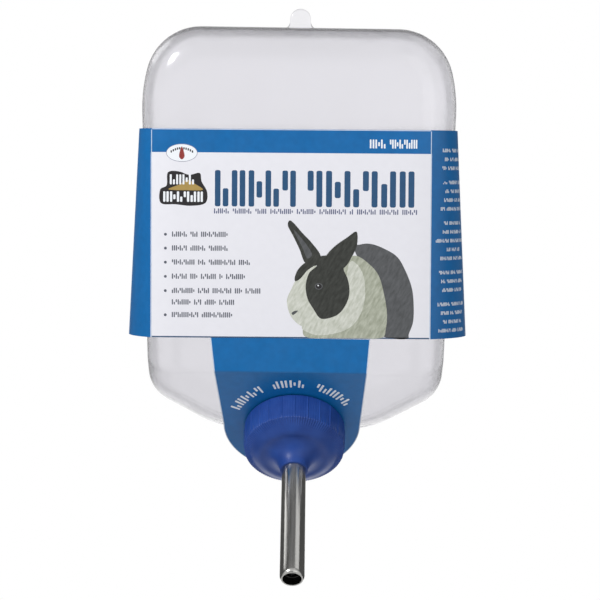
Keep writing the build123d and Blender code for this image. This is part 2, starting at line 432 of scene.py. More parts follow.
NECK_TURN = (math.atan2(-OUT.z, -OUT.y), 0, 0)
CLEAR = clear_plastic()
BLUE = printed("card_blue", srgb(4, 105, 172))
WHITE = printed("card_white", srgb(238, 238, 245), variation=0.01)
CORE = raw_card()
TITLE_BLUE = printed("print_title_blue", srgb(42, 84, 124))
TEXT_GREY = printed("print_text_grey", srgb(96, 100, 112))
PRINT_WHITE = printed("print_white", srgb(246, 250, 255), variation=0.01)
PRINT_DARK = printed("print_dark", srgb(42, 40, 42))
PRINT_GOLD = printed("print_gold", srgb(176, 148, 84))
PRINT_RUST = printed("print_rust", srgb(150, 60, 56))
PRINT_EDGE = printed("print_edge", srgb(150, 150, 170))
TEXT_BLUE = printed("print_text_blue", srgb(84, 92, 128))
# painted shade: dark line under the front panel's lower edge
EDGE_PAINTED_SHADE = printed("edge_painted_shade", srgb(64, 90, 122))
# pale worn card at the folds and cut edges, also used as a painted highlight along the top edge
CARD_WORN_AND_HIGHLIGHT = printed("card_worn_and_highlight", srgb(196, 212, 232), roughness=0.7, coat=0.0)
FUR_DARK = fur("fur_dark", srgb(40, 42, 38), srgb(66, 68, 64))
FUR_BACK = fur("fur_back", srgb(76, 78, 80), srgb(98, 100, 103))
FUR_WHITE = fur("fur_white", srgb(188, 192, 178), srgb(224, 226, 217))
FUR_SHADE = fur("fur_shade", srgb(152, 157, 138), srgb(192, 196, 180))
CAP_BLUE = cap_plastic()
TUBE_STEEL = steel("tube_steel", (0.59, 0.585, 0.565), 0.14, 0.24, ((1, 30, 1), NECK_TURN))
# painted shade: the bore's steel is near black to stand in for the shadow inside the tube
BORE_PAINTED_SHADE_STEEL = steel("tube_bore_painted_shade", (0.06, 0.058, 0.056), 0.4, 0.5, ((1, 30, 1), NECK_TURN))
# painted shade: the valve seat and ball stop are near-black steel for the shadow deep in the tube
RING_PAINTED_SHADE_STEEL = steel("ring_painted_shade_steel", (0.05, 0.049, 0.048), 0.35, 0.45, ((1, 4, 1), NECK_TURN))
# painted shade: the ball is near-black steel for the shadow deep in the tube
BALL_PAINTED_SHADE_STEEL = steel("ball_painted_shade_steel", (0.035, 0.035, 0.038), 0.35, 0.45, ((1, 2, 1), NECK_TURN))
RUBBER = plain("seal_rubber", srgb(40, 40, 42), 0.75, 1400)
WHITE_PLASTIC = plain("retainer_plastic", srgb(222, 222, 218), 0.45, 900)


# ---- CAD nodes that stay ----
def paint(node, material):
    piece = frame["nodes"][node]
    piece.data.materials.clear()
    piece.data.materials.append(material)


paint("bottle_shell", CLEAR)
paint("cap_gasket", RUBBER)
paint("tube_seal", RUBBER)
paint("tube_retainer", WHITE_PLASTIC)
paint("valve_seat", RING_PAINTED_SHADE_STEEL)
paint("ball_stop", RING_PAINTED_SHADE_STEEL)
paint("valve_ball", BALL_PAINTED_SHADE_STEEL)


# ---- cap ----
CAP_RIM = 0.95 * MM
CAP_EDGE = 16.1 * MM
CAP_RADIUS = 26.75 * MM
CAP_EDGE_RADIUS = 26.4 * MM
CAP_FACE = 20.8 * MM
CAP_FACE_RADIUS = 18.5 * MM
CAP_INSIDE = 24.6 * MM
CAP_SEAT = 15.35 * MM
POCKET_RADIUS = 9.42 * MM
POCKET_FLOOR = 20.5 * MM
BOSS_END = 30.7 * MM
BOSS_RADIUS = 7.4 * MM
BOSS_BORE = 6.4 * MM
BOSS_SWEEP = math.radians(88)  # turn of the hollow curve from the boss out to the face
SWEEP_STEPS = 14
RIB_ROW = 0.9 * MM  # spacing of the rows that carry ribs
RIBBED_FROM = 12 * MM
GRIPS = 24
GRIP_HEIGHT = 0.32 * MM
GRIP_POWER = 14  # the higher, the narrower
GRIP_FADE_RIM = 1.5 * MM
GRIP_FADE_EDGE = 0.8 * MM
NOTCH = 0.06 * MM  # between the fine ribs on the skirt
NOTCH_MORE = 0.12 * MM  # added to it towards the sharp edge
NOTCH_REACH = 3.0 * MM
FINE_RIBS = 120
FINE_HEIGHT = 0.34 * MM
FINE_END = 0.6  # share of the slope where the fine ribs end
FINE_FADE = 0.3
FINE_LEAN = (0.55, 0.8)  # about square to the slope
THREAD_CREST = 23.0 * MM
THREAD_START = 5.2 * MM
THREAD_TURNS = 1.4
THREAD_PITCH = 4.0 * MM
THREAD_STEPS = 72  # in a turn
THREAD_SIDE = ((-0.25, 0.95), (0.0, 0.95), (1.0, 0.5))  # share of height, half width in mm


def cap_profile():
    """Closed profile of the cap, from the boss outward over the skirt and back inside."""
    sweep = [(BOSS_RADIUS - 0.5 * MM, BOSS_END), (BOSS_RADIUS - 0.1 * MM, BOSS_END - 0.2 * MM)]
    reach = CAP_FACE_RADIUS - 2.0 * MM - BOSS_RADIUS
    drop = BOSS_END - CAP_FACE
    for step in range(1, SWEEP_STEPS + 1):
        turn = BOSS_SWEEP * step / SWEEP_STEPS
        sweep.append(
            (
                BOSS_RADIUS + reach * (1 - math.cos(turn)) / (1 - math.cos(BOSS_SWEEP)),
                BOSS_END - drop * math.sin(turn) / math.sin(BOSS_SWEEP),
            )
        )
    outside = rounded(
        [
            sweep[-1],
            (CAP_FACE_RADIUS, CAP_FACE),
            (CAP_EDGE_RADIUS, CAP_EDGE),
            (CAP_RADIUS, CAP_RIM),
            (CAP_INSIDE, CAP_RIM),
            (CAP_INSIDE, CAP_SEAT),
            (POCKET_RADIUS, CAP_SEAT),
            (POCKET_RADIUS, POCKET_FLOOR),
            (BOSS_BORE, POCKET_FLOOR),
            (BOSS_BORE, BOSS_END),
        ],
        [0, 6.8 * MM, 0.6 * MM, 0.4 * MM, 0.3 * MM, 0, 0, 0, 0, 0],
        steps=6,
        closed=False,
    )
    dense = []
    for (r0, t0), (r1, t1) in zip(outside, outside[1:]):
        on_skirt = max(r0, r1) > CAP_INSIDE + 0.1 * MM
        on_slope = min(t0, t1) > CAP_EDGE and r0 > RIBBED_FROM
        rows = int(math.hypot(r1 - r0, t1 - t0) / RIB_ROW)
        pieces = max(1, rows) if on_skirt or on_slope else 1
        for step in range(pieces):
            dense.append((r0 + (r1 - r0) * step / pieces, t0 + (t1 - t0) * step / pieces))
    dense.append(outside[-1])
    return sweep + dense[1:]


def cap_ripple(angle, radius, distance):
    """Grips down the skirt and fine ribs from the sharp edge inward over the slope."""
    slope_share = (CAP_EDGE_RADIUS - radius) / (CAP_EDGE_RADIUS - CAP_FACE_RADIUS)
    fine = 0.5 + 0.5 * math.cos(angle * FINE_RIBS)
    to_edge = CAP_EDGE - distance
    if distance > CAP_EDGE - 0.5 * MM and -0.1 < slope_share < FINE_END:
        depth = FINE_HEIGHT * (fine - 1.0) * min(1.0, (FINE_END - slope_share) / FINE_FADE)
        return (depth * FINE_LEAN[0], depth * FINE_LEAN[1])
    if radius > CAP_INSIDE + 1.0 * MM and CAP_RIM + 0.5 * MM < distance <= CAP_EDGE:
        fade = min(1.0, (distance - CAP_RIM) / GRIP_FADE_RIM, to_edge / GRIP_FADE_EDGE)
        coarse = max(0.0, math.cos(angle * GRIPS)) ** GRIP_POWER
        notch = NOTCH + NOTCH_MORE * max(0.0, 1.0 - to_edge / NOTCH_REACH)
        return (GRIP_HEIGHT * coarse * max(0.0, fade) - notch * (1.0 - fine), 0.0)
    return (0.0, 0.0)


def thread_mesh(name):
    """Right-hand thread ridge inside the cap, with tapered ends."""
    rings = int(THREAD_TURNS * THREAD_STEPS)
    vertices = []
    faces = []
    for ring in range(rings + 1):
        angle = 2 * math.pi * ring / THREAD_STEPS
        distance = THREAD_START + THREAD_PITCH * ring / THREAD_STEPS
        fade = min(1.0, ring / 6, (rings - ring) / 6)
        height = (THREAD_CREST - CAP_INSIDE) * max(fade, 0.05)
        for reach, half in THREAD_SIDE:
            vertices.append(neck_point(CAP_INSIDE + height * reach, angle, distance + half * MM))
        for reach, half in reversed(THREAD_SIDE):
            vertices.append(neck_point(CAP_INSIDE + height * reach, angle, distance - half * MM))
    for ring in range(rings):
        for side in range(6):
            following = (side + 1) % 6
            faces.append(
                (
                    ring * 6 + side,
                    ring * 6 + following,
                    (ring + 1) * 6 + following,
                    (ring + 1) * 6 + side,
                )
            )
    faces.append(tuple(range(5, -1, -1)))
    faces.append(tuple(rings * 6 + side for side in range(6)))
    return mesh_from(name, vertices, faces, 35)


cap_mesh = lathe("screw_cap", cap_profile(), 960, 50, cap_ripple)
cap = new_object("screw_cap", cap_mesh, "cap", [CAP_BLUE])
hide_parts("cap")
new_object(
    "screw_cap_thread", thread_mesh("screw_cap_thread"), "cap", [CAP_BLUE]
)


# ---- drinking tube ----
TUBE_RADIUS = 6.35 * MM
TUBE_BORE = 5.45 * MM
TUBE_TIP = 102.1 * MM
SWAGE = 2.4 * MM
TIP_RADIUS = 5.6 * MM
TIP_OPENING = 4.9 * MM
FLARE_RADIUS = 8.9 * MM
FLARE_BACK = 16.65 * MM
FLARE_FRONT = 17.55 * MM
LIP_TURN = math.radians(80)
LIP_STEPS = 8
LIP_BRIGHT = 0.6 * MM  # depth of the bore that is as bright as the outside; deeper in, its steel is dark as painted shade
SHAFT_ROWS = 12


def roll(radius, tip_radius):
    """Arc that turns the tube's wall inward at its tip."""
    points = []
    inset = radius - tip_radius
    for step in range(LIP_STEPS + 1):
        turn = LIP_TURN * (step / LIP_STEPS)
        points.append(
            (
                radius - inset * (1 - math.cos(turn)) / (1 - math.cos(LIP_TURN)),
                TUBE_TIP - SWAGE + SWAGE * math.sin(turn) / math.sin(LIP_TURN),
            )
        )
    return points


def tube_profile():
    """Closed profile of the tube, from its flared back end to the rolled tip and back."""
    outer = roll(TUBE_RADIUS, TIP_RADIUS)
    inner = roll(TUBE_BORE, TIP_OPENING)
    flare = [
        (TUBE_BORE, FLARE_BACK),
        (FLARE_RADIUS, FLARE_BACK),
        (FLARE_RADIUS, FLARE_FRONT),
        (TUBE_RADIUS + 0.4 * MM, FLARE_FRONT),
        (TUBE_RADIUS, FLARE_FRONT + 0.4 * MM),
    ]
    length = TUBE_TIP - SWAGE - FLARE_FRONT
    shaft = [
        (TUBE_RADIUS, FLARE_FRONT + row * length / SHAFT_ROWS) for row in range(1, SHAFT_ROWS)
    ]
    return flare + shaft + outer + inner[::-1]


def paint_bore_shade(mesh):
    """Gives the inside of the tube its second material, a dark steel that is painted shade in the
    bore.
    """
    for face in mesh.polygons:
        past = Vector(face.center) - NECK
        distance = past.dot(OUT)
        inside = (past - OUT * distance).length < TUBE_BORE + 0.1 * MM
        if inside and distance < TUBE_TIP - LIP_BRIGHT:
            face.material_index = 1


tube_mesh = lathe("drinking_tube", tube_profile(), 128, 35)
tube = new_object("drinking_tube", tube_mesh, "cap", [TUBE_STEEL, BORE_PAINTED_SHADE_STEEL])
paint_bore_shade(tube_mesh)
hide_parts("sipper_tube")


# ---- printed card ----
def lerp(first, second, share):
    return first + (second - first) * share


def sleeve_shift(share):
    """The sleeve hangs a little askew: how far it is to one side, at a share of the way down."""
    return lerp(SLEEVE_SHIFT_TOP, SLEEVE_SHIFT_BOTTOM, share)


def lean_past_rim(fold_x, fold_y, share, least):
    """Lean of a side panel at its fold, enough to pass clear of the bottle's rounded rim."""
    to_rim = Vector((lerp(RIM_TOP_X, RIM_BOTTOM_X, share) - fold_x, fold_y - RIM_Y))
    angle = math.atan2(to_rim.y, to_rim.x) - math.asin(min(1.0, RIM_RADIUS / to_rim.length))
    return max(least, math.pi / 2 - angle)


def corner_radius(length, turn, wanted):
    """Wanted radius, or the largest that the straight run before the corner allows."""
    return min(wanted, 0.95 * length / math.tan(turn / 2))


def side_path(share, grow):
    """Right side panel from front fold to back fold; share is down the card, grow is outward."""
    front_x = CARD_HALF + CARD_SHIFT
    back_x = CARD_HALF - CARD_SHIFT
    side_x = lerp(SIDE_TOP_X, SIDE_BOTTOM_X, share)
    bend = lerp(SIDE_TOP_RADIUS, SIDE_BOTTOM_RADIUS, share)
    y = abs(CARD_FRONT) - CARD_THICKNESS
    front_lean = lean_past_rim(front_x, y, share, LEAN_FRONT)
    back_lean = lean_past_rim(back_x, y, share, LEAN_BACK)
    front_run = (side_x - front_x) / math.sin(front_lean)
    back_run = (side_x - back_x) / math.sin(back_lean)
    outer_x = side_x + grow
    corners = [
        (front_x, -y - grow),
        (outer_x, -y - grow + (outer_x - front_x) / math.tan(front_lean)),
        (outer_x, y + grow - (outer_x - back_x) / math.tan(back_lean)),
        (back_x, y + grow),
    ]
    front_bend = corner_radius(front_run, front_lean, bend)
    back_bend = corner_radius(back_run, back_lean, bend)
    return rounded(corners, [0, front_bend, back_bend, 0], steps=14, closed=False)


def sleeve_ring(share, grow):
    """Closed path round the bottle at a height; half of it is the other half turned round."""
    right = side_path(share, grow)
    (front_x, front_y), (back_x, back_y) = right[0], right[-1]
    beside, along = FOLD_BEVEL * 0.4, FOLD_BEVEL * 0.35
    half = [(front_x - FOLD_BEVEL, front_y), (front_x + beside, front_y + along)]
    half += right[1:-1]
    half += [(back_x + beside, back_y - along), (back_x - FOLD_BEVEL, back_y)]
    start, end = back_x - FOLD_BEVEL, FOLD_BEVEL - front_x
    half += [(lerp(start, end, step / 12), back_y) for step in range(1, 12)]
    return half + [(-x, -y) for x, y in half]


def sleeve_mesh():
    """Whole sleeve as one thin closed tube of card."""
    blue, white, core = range(3)
    near = 0.05 * MM
    heights = [CARD_TOP + SLEEVE_OVER, lerp(CARD_TOP, BAND_BOTTOM, 0.5), BAND_BOTTOM]
    heights += [lerp(BAND_BOTTOM, CARD_BOTTOM, step / 10) for step in range(1, 11)]
    vertices = []
    for height in heights:
        share = (CARD_TOP - height) / (CARD_TOP - CARD_BOTTOM)
        for grow in (0.0, CARD_THICKNESS):
            for x, y in sleeve_ring(share, grow):
                vertices.append((x + sleeve_shift(share), y, height + CARD_SLOPE * x))
    ring = len(sleeve_ring(0, 0))
    faces = []
    indices = []

    def vertex(row, layer, column):
        return (row * 2 + layer) * ring + column % ring

    rows = len(heights)
    for row in range(rows - 1):
        for column in range(ring):
            outer = (
                vertex(row, 1, column),
                vertex(row, 1, column + 1),
                vertex(row + 1, 1, column + 1),
                vertex(row + 1, 1, column),
            )
            middle = sum((Vector(vertices[i]) for i in outer), Vector()) / 4
            on_panel = middle.y < CARD_FRONT + near or middle.y > -CARD_FRONT - near
            below_band = heights[row] <= BAND_BOTTOM
            faces.append(outer)
            indices.append(white if on_panel and below_band else blue)
            faces.append(
                (
                    vertex(row, 0, column),
                    vertex(row + 1, 0, column),
                    vertex(row + 1, 0, column + 1),
                    vertex(row, 0, column + 1),
                )
            )
            indices.append(core)
    for column in range(ring):
        for row in (0, rows - 1):
            faces.append(
                (
                    vertex(row, 0, column),
                    vertex(row, 0, column + 1),
                    vertex(row, 1, column + 1),
                    vertex(row, 1, column),
                )
            )
            indices.append(core)
    return mesh_from("card_sleeve", vertices, faces, CARD_SMOOTH, indices)


sleeve = new_object("card_sleeve", sleeve_mesh(), "bottle", [BLUE, WHITE, CORE])
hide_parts("card_front_panel", "card_back_panel", "card_left_panel", "card_right_panel")

# the tongue is drawn flat: u across, v down from the front panel's lower edge
CREASE_DROP = CARD_BOTTOM - CREASE_Z
BEND_TURN = math.atan2(-OUT.z, -OUT.y)
COLLAR_RISE = UP.dot(Vector((0, CARD_FRONT, CREASE_Z)) - NECK)
ROUND_V = CREASE_DROP + COLLAR_RISE - TONGUE_RISE  # middle of the tongue's round end


def tongue_place(u, v, height):
    """Puts a flat point of the tongue on the front face or on the sloping shoulder."""
    x = u + lerp(TONGUE_SHIFT_TOP, TONGUE_SHIFT_LOW, min(1.0, v / TONGUE_SHIFT_SPAN))
    bend_length = BEND_RADIUS * BEND_TURN
    start = CREASE_DROP - bend_length / 2
    face_y = CARD_FRONT + CARD_THICKNESS
    if v <= start:
        return Vector((x, face_y - height, CARD_BOTTOM - v))
    turn = min(1.0, (v - start) / bend_length) * BEND_TURN
    centre = Vector((x, face_y + BEND_RADIUS, CARD_BOTTOM - start))
    normal = Vector((0, -math.cos(turn), -math.sin(turn)))
    down = Vector((0, math.sin(turn), -math.cos(turn)))
    past = max(0.0, v - start - bend_length)
    return centre + normal * (BEND_RADIUS + height) + down * past


def oval(x, y, across, down, steps=40):
    turns = [2 * math.pi * step / steps for step in range(steps)]
    return [(x + across * math.cos(turn), y + down * math.sin(turn)) for turn in turns]


def round_end(turn, steps):
    """Arc round the tongue's end, from its right side on."""
    points = []
    for step in range(steps + 1):
        angle = turn * step / steps
        points.append(
            (TONGUE_RADIUS * math.cos(angle), ROUND_V + TONGUE_RADIUS * math.sin(angle))
        )
    return points


def tongue_mesh():
    """The tongue with the hole for the neck, cut across so that it can bend."""
    half_top = TONGUE_TOP_WIDTH / 2
    half_crease = TONGUE_CREASE_WIDTH / 2
    outline = [(-half_top, 0.0), (half_top, 0.0), (half_crease, CREASE_DROP)]
    outline += round_end(math.pi, 48)
    outline.append((-half_crease, CREASE_DROP))
    hole = oval(COLLAR_HOLE_SHIFT, CREASE_DROP + COLLAR_RISE, COLLAR_HOLE, COLLAR_HOLE, 64)
    work = bmesh.new()
    edges = []
    for loop in (outline, hole):
        ring = [work.verts.new((u, v, 0)) for u, v in loop]
        edges += [work.edges.new((a, b)) for a, b in zip(ring, ring[1:] + ring[:1])]
    bmesh.ops.triangle_fill(work, use_beauty=True, edges=edges)
    for step in range(-6, 7):
        bmesh.ops.bisect_plane(
            work,
            geom=list(work.verts) + list(work.edges) + list(work.faces),
            plane_co=(0, CREASE_DROP + step * BEND_CUT, 0),
            plane_no=(0, 1, 0),
        )
    thicken(work, CARD_THICKNESS)
    for face in work.faces:
        top = all(v.co.z > CARD_THICKNESS / 2 for v in face.verts)
        face.material_index = 0 if top else 1
    return placed_mesh("card_tongue", work, tongue_place, CARD_SMOOTH)


tongue = new_object("card_tongue", tongue_mesh(), "bottle", [BLUE, CORE])
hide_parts("card_tongue_upper", "card_tongue_collar")


# ---- print on the card ----
INK = 0.06 * MM  # thickness of the lowest print; what lies on it is thicker
SINK = 0.02 * MM  # how far print reaches into the card
MARK_SHARE = 0.8  # width of a mark in its pitch
CARD_HEIGHT = CARD_TOP - CARD_BOTTOM


def front_place(u, v, height):
    """u across from the panel's middle, v down from its top edge."""
    x = u + CARD_SHIFT + sleeve_shift(v / CARD_HEIGHT)
    return Vector((x, CARD_FRONT + SINK - height, CARD_TOP - v + CARD_SLOPE * x))


def back_place(u, v, height):
    """The same on the back panel, read from behind."""
    x = -u - CARD_SHIFT + sleeve_shift(v / CARD_HEIGHT)
    return Vector((x, -CARD_FRONT - SINK + height, CARD_TOP - v + CARD_SLOPE * x))


def side_place(turned):
    """The same on the right panel, u from its front fold; or, turned, on the left from its back."""

    def place(u, v, height):
        share = v / CARD_HEIGHT
        path = side_path(share, CARD_THICKNESS - SINK + height)
        left = abs(u)
        for (x0, y0), (x1, y1) in zip(path, path[1:]):
            length = math.hypot(x1 - x0, y1 - y0)
            if left <= length:
                x, y = lerp(x0, x1, left / length), lerp(y0, y1, left / length)
                break
            left -= length
        if turned:
            x, y = -x, -y
        return Vector((x + sleeve_shift(share), y, CARD_TOP - v + CARD_SLOPE * x))

    return place


def tongue_ink_place(u, v, height):
    """The same on the outside of the tongue."""
    return tongue_place(u, v, CARD_THICKNESS - SINK + height)


def bar(x, y, width, height, radius=None):
    """Rounded bar with its top left corner at x, y, in millimetres like all outlines of print."""
    radius = min(width, height) * 0.3 if radius is None else radius
    corners = [(x, y), (x + width, y), (x + width, y + height), (x, y + height)]
    return rounded(corners, [radius] * 4, steps=3)


def ink_piece(name, outlines, place, material, height=INK):
    """Piece of print from outlines in millimetres."""
    outlines = [[(u * MM, v * MM) for u, v in outline] for outline in outlines]
    mesh = print_mesh(name, outlines, place, height)
    new_object(name, mesh, "bottle", [material])


# start and end of the left and of the right stroke, as shares of a mark's height
MARKS = (
    ((0.0, 1.0), (0.5, 1.0)),
    ((0.0, 1.0), (0.0, 1.0)),
    ((0.0, 0.55), (0.0, 1.0)),
    ((0.0, 1.0), (0.3, 0.75)),
    ((0.35, 1.0), (0.0, 1.0)),
)


def mark(kind, x, y, width, height, stroke):
    """Meaningless mark of two upright strokes, in place of a letter."""
    strokes = []
    for offset, (start, end) in zip((0.0, width - stroke), MARKS[kind % len(MARKS)]):
        strokes.append(bar(x + offset, y + start * height, stroke, (end - start) * height))
    return strokes


def mark_row(x, y, height, groups, pitch, gap, stroke, kind=0):
    """Row of marks in groups with a gap between them, in place of a line of print."""
    strokes = []
    for count in groups:
        for _ in range(count):
            strokes += mark(kind, x, y, pitch * MARK_SHARE, height, stroke)
            kind += 1 + kind % 2
            x += pitch
        x += gap
    return strokes


def print_front():
    """Front panel: heading, line under it, list and capacity."""
    heading = mark_row(-39.6, 21.0, 18.8, (5,), 8.75, 0, 2.9)
    heading += mark_row(8.5, 21.0, 18.8, (6,), 9.55, 0, 3.1, 2)
    ink_piece("print_heading", heading, front_place, TITLE_BLUE)
    under = mark_row(-40.0, 40.9, 2.6, (4, 5, 3, 6, 5, 7, 1, 5, 5, 4), 2.0, 1.75, 0.55)
    ink_piece("print_under_heading", under, front_place, TEXT_BLUE)
    rows = (
        (53.0, (4, 2, 7), True),
        (60.2, (4, 4, 5), True),
        (67.5, (6, 2, 7, 3), True),
        (74.9, (4, 2, 4, 1, 5), True),
        (82.3, (6, 3, 5, 2, 4), True),
        (88.3, (5, 2, 3, 4), False),
        (94.9, (7, 8), True),
    )
    items = []
    for number, (v, groups, has_dot) in enumerate(rows):
        items += mark_row(-61.8, v, 2.7, groups, 2.02, 1.5, 0.6, number)
        if has_dot:
            items.append(oval(-65.2, v + 1.5, 0.75, 0.75, 12))
    ink_piece("print_list", items, front_place, TEXT_GREY)
    capacity = mark_row(40.6, 4.6, 4.6, (3,), 2.9, 1.6, 0.85, 1)
    capacity += mark_row(51.0, 4.6, 4.6, (6,), 2.45, 0, 0.8, 2)
    ink_piece("print_capacity", capacity, front_place, PRINT_WHITE)


def print_badge():
    """Plain badge: dark ground, gold hill, two rows of pale marks."""
    ground = smooth_loop(
        [(-64, 22.4), (-58.5, 21.8), (-53, 23.6), (-47.5, 22.6), (-46.5, 27), (-43.6, 32.5)]
        + [(-44.6, 38.2), (-52, 39.6), (-60, 38.9), (-67.6, 38.3), (-68, 31.4), (-64.6, 29)],
        5,
    )
    ink_piece("badge_ground", [ground], front_place, PRINT_DARK)
    hill = smooth_loop(
        [(-63.8, 31.2), (-58, 28.6), (-54, 26.2), (-50, 28.2), (-45.8, 31.3), (-54, 31.6)],
        4,
    )
    ink_piece("badge_hill", [hill], front_place, PRINT_GOLD, INK * 1.5)
    pale = mark_row(-63.0, 23.4, 5.2, (4,), 3.3, 0, 1.0)
    pale += mark_row(-66.4, 32.2, 5.4, (6,), 3.55, 0, 1.15, 1)
    ink_piece("badge_marks", pale, front_place, PRINT_WHITE, INK * 2)


def print_oval():
    """Small oval label with a drop and an arc of ticks in it."""
    middle = -56.8
    ink_piece("oval_edge", [oval(middle, 12.2, 8.1, 4.65)], front_place, PRINT_EDGE)
    ink_piece("oval_field", [oval(middle, 12.2, 7.85, 4.4)], front_place, PRINT_WHITE, INK * 1.5)
    drop = smooth_loop(
        [(middle, 8.9), (-55.6, 12.2), (-55.5, 14.4), (middle, 15.6), (-58.1, 14.4), (-58.0, 12.2)],
        5,
    )
    ink_piece("oval_drop", [drop], front_place, PRINT_RUST, INK * 2)
    ticks = []
    for step in range(-5, 6):
        if step != 0:
            u = middle + step * 1.1
            ticks.append(bar(u - 0.35, 9.2 + 0.07 * step * step, 0.7, 1.2))
    ink_piece("oval_ticks", ticks, front_place, PRINT_DARK, INK * 2)


def print_rabbit():
    """Picture of a black and white rabbit, sitting, cut off at the panel's lower edge."""
    back = smooth_loop(
        [(33, 62), (36.5, 59), (42, 58.8), (49, 61.4), (55.5, 65.6), (59.8, 73), (63, 81.5)]
        + [(64, 90), (63.8, 99), (61.6, 105.5), (61, 107.9), (54, 107.9), (46, 104), (42, 80)],
        6,
    )
    ink_piece("rabbit_back", [back], front_place, FUR_BACK)
    chest = smooth_loop(
        [(29.5, 68), (33.6, 64.9), (40, 68.6), (45.6, 75), (48.6, 85), (50.2, 95), (49.6, 103)]
        + [(47.6, 107.6), (36, 107.9), (22, 107.9), (9.5, 107.8), (6.4, 104.5), (9, 96), (20, 84)],
        6,
    )
    ink_piece("rabbit_chest", [chest], front_place, FUR_SHADE, INK * 1.2)
    ruff = smooth_loop(
        [(30, 70), (34, 69), (38, 76), (38.5, 88), (35, 98), (28, 104), (16, 106.5), (9, 105)]
        + [(6, 102), (13, 96), (26, 92)],
        6,
    )
    ink_piece("rabbit_ruff", [ruff], front_place, FUR_WHITE, INK * 1.4)
    muzzle = smooth_loop(
        [(13.5, 70.6), (8.2, 72.6), (3.6, 76), (0.6, 82), (-1.8, 87.6), (-1.4, 92.5), (0.4, 97)]
        + [(4.4, 101), (10, 102.6), (15.6, 99), (14.6, 90), (12, 80)],
        6,
    )
    ink_piece("rabbit_muzzle", [muzzle], front_place, FUR_WHITE, INK * 1.6)
    brow = smooth_loop(
        [(12.6, 69.6), (8, 68.6), (4, 72), (2.2, 76), (2.4, 78.4), (5, 77), (8.6, 72.8)],
        6,
    )
    ink_piece("rabbit_brow", [brow], front_place, FUR_DARK, INK * 1.8)
    head = smooth_loop(
        [(13.6, 70), (9.6, 74), (7.8, 80.6), (8.8, 87.4), (12, 93), (15.4, 97.6), (20.4, 97.4)]
        + [(25.6, 94.8), (29.4, 89), (30.6, 83), (29.6, 77), (27.6, 72.6), (26, 66), (17, 65)]
        + [(9, 67.4)],
        6,
    )
    ink_piece("rabbit_head", [head], front_place, FUR_DARK, INK * 2)
    near_ear = smooth_loop(
        [(7.6, 69), (4.6, 62), (1.2, 55), (-1.6, 49.6), (-0.8, 46.9), (1.4, 48.2), (6, 53.4)]
        + [(10.8, 58.4), (15.4, 65), (13.6, 70)],
        6,
    )
    far_ear = smooth_loop(
        [(17.4, 68), (19.4, 63.6), (23.6, 59.4), (29, 55.6), (33.6, 52.4), (34.6, 55.2)]
        + [(34, 60.4), (31.6, 65.6), (28.4, 70.6), (23, 73)],
        6,
    )
    ink_piece("rabbit_ears", [near_ear, far_ear], front_place, FUR_DARK, INK * 2.2)
    inner = smooth_loop(
        [(8.4, 66.4), (6, 61), (3, 55.4), (1.4, 51.6), (4.6, 55), (8.6, 60), (11, 64.6)],
        5,
    )
    ink_piece("rabbit_inner_ear", [inner], front_place, FUR_BACK, INK * 2.4)
    ink_piece("rabbit_eye_ring", [oval(14.6, 81, 2.1, 1.7, 20)], front_place, FUR_BACK, INK * 2.4)
    ink_piece("rabbit_eye", [oval(14.6, 81, 1.5, 1.25, 20)], front_place, PRINT_DARK, INK * 2.8)
    light = oval(14.3, 80.6, 0.4, 0.35, 12)
    ink_piece("rabbit_eye_light", [light], front_place, PRINT_WHITE, INK * 3.2)
    nose = smooth_loop([(0.6, 94.9), (2.2, 93.9), (3.8, 93.8), (2.6, 95.2), (1.2, 96)], 4)
    ink_piece("rabbit_nose", [nose], front_place, FUR_BACK, INK * 2.4)


def print_sides():
    """Small pale lines on both side panels, in five paragraphs."""
    middle, line_pitch, paragraph_pitch = 17.0, 4.6, 7.4
    pitch, gap = 1.5, 1.1
    paragraph_ends = (2, 6, 11, 14)
    for name, turned in (("print_right_side", False), ("print_left_side", True)):
        lines = []
        v = 9.0
        for number in range(19):
            groups = [rng.randint(2, 6) for _ in range(3)]
            width = sum(groups) * pitch + 2 * gap
            lines += mark_row(middle - width / 2, v, 1.9, groups, pitch, gap, 0.45, number)
            v += paragraph_pitch if number in paragraph_ends else line_pitch
        ink_piece(name, lines, side_place(turned), PRINT_WHITE)


def print_back():
    """Back panel: heading, a drop in a ring and rows of print."""
    heading = mark_row(-52, 20, 9, (6, 4, 5), 6.4, 4.5, 1.7)
    ink_piece("print_back_heading", heading, back_place, TITLE_BLUE)
    rows = []
    for number in range(11):
        groups = [rng.randint(3, 7) for _ in range(4)]
        rows += mark_row(-60, 36 + number * 6, 2.5, groups, 1.95, 1.6, 0.6, number)
    ink_piece("print_back_list", rows, back_place, TEXT_GREY)
    ink_piece("print_back_ring", [oval(44, 64, 19, 19, 64)], back_place, BLUE)
    ink_piece("print_back_disc", [oval(44, 64, 17.4, 17.4, 64)], back_place, PRINT_WHITE, INK * 1.5)
    drop = smooth_loop(
        [(44, 50), (48, 58), (51, 65), (49.5, 72), (44, 75.5), (38.5, 72), (37, 65), (40, 58)],
        6,
    )
    ink_piece("print_back_drop", [drop], back_place, TITLE_BLUE, INK * 2)


def print_tongue():
    """Pale marks on an arc round the neck, in three groups, from left to right."""
    arc_radius = 34.7
    mark_turn = math.radians(7.45)
    gap_turn = math.radians(9.0)
    angle = math.radians(152)
    centre_u = COLLAR_HOLE_SHIFT / MM
    centre_v = CREASE_DROP / MM + COLLAR_RISE / MM
    strokes = []
    kind = 0
    for count in (5, 4, 5):
        for _ in range(count):
            for stroke in mark(kind, -1.6, -2.7, 3.2, 5.4, 1.15):
                turned = []
                for x, y in stroke:
                    radius = arc_radius - y
                    turn = angle - x / arc_radius
                    u, v = centre_u + radius * math.cos(turn), centre_v - radius * math.sin(turn)
                    turned.append((u, v))
                strokes.append(turned)
            kind += 1 + kind % 2
            angle -= mark_turn
        angle -= gap_turn
    ink_piece("print_tongue", strokes, tongue_ink_place, PRINT_WHITE)


